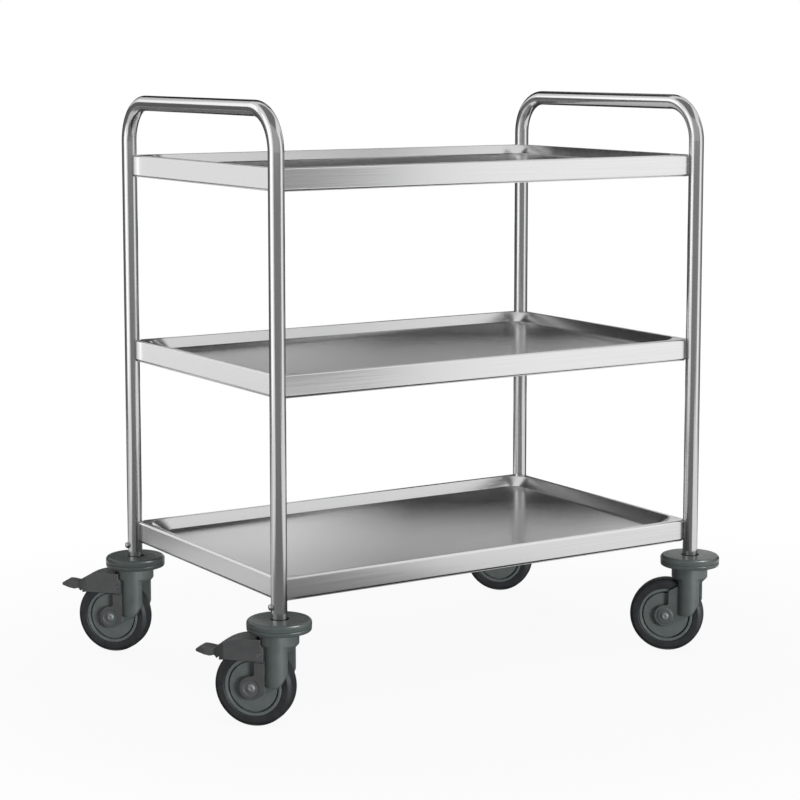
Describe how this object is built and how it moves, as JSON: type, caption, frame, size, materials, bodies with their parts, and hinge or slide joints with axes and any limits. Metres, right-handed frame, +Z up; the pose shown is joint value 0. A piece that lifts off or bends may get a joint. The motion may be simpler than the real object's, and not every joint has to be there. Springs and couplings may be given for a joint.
{
  "type": "shelf trolley",
  "caption": "Service trolley with pressed steel trays between bent tube end frames that form push handles, on swivel castors, with foot brakes at one end.",
  "frame": {"origin": "on the floor, midway between the legs", "axes": "+X along the trays, away from the braked castors; the front faces -Y; +Z up"},
  "size_m": [0.9485, 0.6557, 0.95],
  "materials": {
    "tube_steel": "bright ground tube",
    "sheet_steel": "fine brushed sheet",
    "plated_steel": "zinc plated",
    "bumper_plastic": "satin moulded",
    "fork_plastic": "satin moulded",
    "hub_plastic": "satin moulded",
    "pedal_plastic": "satin moulded",
    "tyre_rubber": "smooth moulded"
  },
  "bodies": {
    "frame": {"left_end_frame": "tube_steel", "right_end_frame": "tube_steel", "top_shelf": "sheet_steel", "middle_shelf": "sheet_steel", "bottom_shelf": "sheet_steel", "castor_stems": "plated_steel", "bumper_discs": "bumper_plastic"},
    "front_left_swivel": {"front_left_fork": "fork_plastic", "front_left_axle": "plated_steel"},
    "front_left_wheel": {"front_left_wheel_hub": "hub_plastic", "front_left_tyre": "tyre_rubber"},
    "front_left_brake": {"front_left_brake_pedal": "pedal_plastic", "front_left_brake_shoe": "tyre_rubber"},
    "rear_left_swivel": {"rear_left_fork": "fork_plastic", "rear_left_axle": "plated_steel"},
    "rear_left_wheel": {"rear_left_wheel_hub": "hub_plastic", "rear_left_tyre": "tyre_rubber"},
    "rear_left_brake": {"rear_left_brake_pedal": "pedal_plastic", "rear_left_brake_shoe": "tyre_rubber"},
    "front_right_swivel": {"front_right_fork": "fork_plastic", "front_right_axle": "plated_steel"},
    "front_right_wheel": {"front_right_wheel_hub": "hub_plastic", "front_right_tyre": "tyre_rubber"},
    "rear_right_swivel": {"rear_right_fork": "fork_plastic", "rear_right_axle": "plated_steel"},
    "rear_right_wheel": {"rear_right_wheel_hub": "hub_plastic", "rear_right_tyre": "tyre_rubber"}
  },
  "joints": [
    {"name": "front_left_swivel", "type": "hinge", "parent": "frame", "child": "front_left_swivel", "pos_m": [-0.402, -0.251, 0.14], "axis": [0, 0, 1], "continuous": true},
    {"name": "front_left_roll", "type": "hinge", "parent": "front_left_swivel", "child": "front_left_wheel", "pos_m": [-0.42743, -0.22276, 0.0625], "axis": [0.7431, 0.6691, 0], "continuous": true},
    {"name": "front_left_brake", "type": "hinge", "parent": "front_left_swivel", "child": "front_left_brake", "pos_m": [-0.41806, -0.23317, 0.116], "axis": [-0.7431, -0.6691, 0], "range_deg": [0, 7]},
    {"name": "rear_left_swivel", "type": "hinge", "parent": "frame", "child": "rear_left_swivel", "pos_m": [-0.402, 0.251, 0.14], "axis": [0, 0, 1], "continuous": true},
    {"name": "rear_left_roll", "type": "hinge", "parent": "rear_left_swivel", "child": "rear_left_wheel", "pos_m": [-0.42743, 0.27924, 0.0625], "axis": [0.7431, 0.6691, 0], "continuous": true},
    {"name": "rear_left_brake", "type": "hinge", "parent": "rear_left_swivel", "child": "rear_left_brake", "pos_m": [-0.41806, 0.26883, 0.116], "axis": [-0.7431, -0.6691, 0], "range_deg": [0, 7]},
    {"name": "front_right_swivel", "type": "hinge", "parent": "frame", "child": "front_right_swivel", "pos_m": [0.402, -0.251, 0.14], "axis": [0, 0, 1], "continuous": true},
    {"name": "front_right_roll", "type": "hinge", "parent": "front_right_swivel", "child": "front_right_wheel", "pos_m": [0.37657, -0.22276, 0.0625], "axis": [0.7431, 0.6691, 0], "continuous": true},
    {"name": "rear_right_swivel", "type": "hinge", "parent": "frame", "child": "rear_right_swivel", "pos_m": [0.402, 0.251, 0.14], "axis": [0, 0, 1], "continuous": true},
    {"name": "rear_right_roll", "type": "hinge", "parent": "rear_right_swivel", "child": "rear_right_wheel", "pos_m": [0.37657, 0.27924, 0.0625], "axis": [0.7431, 0.6691, 0], "continuous": true}
  ]
}
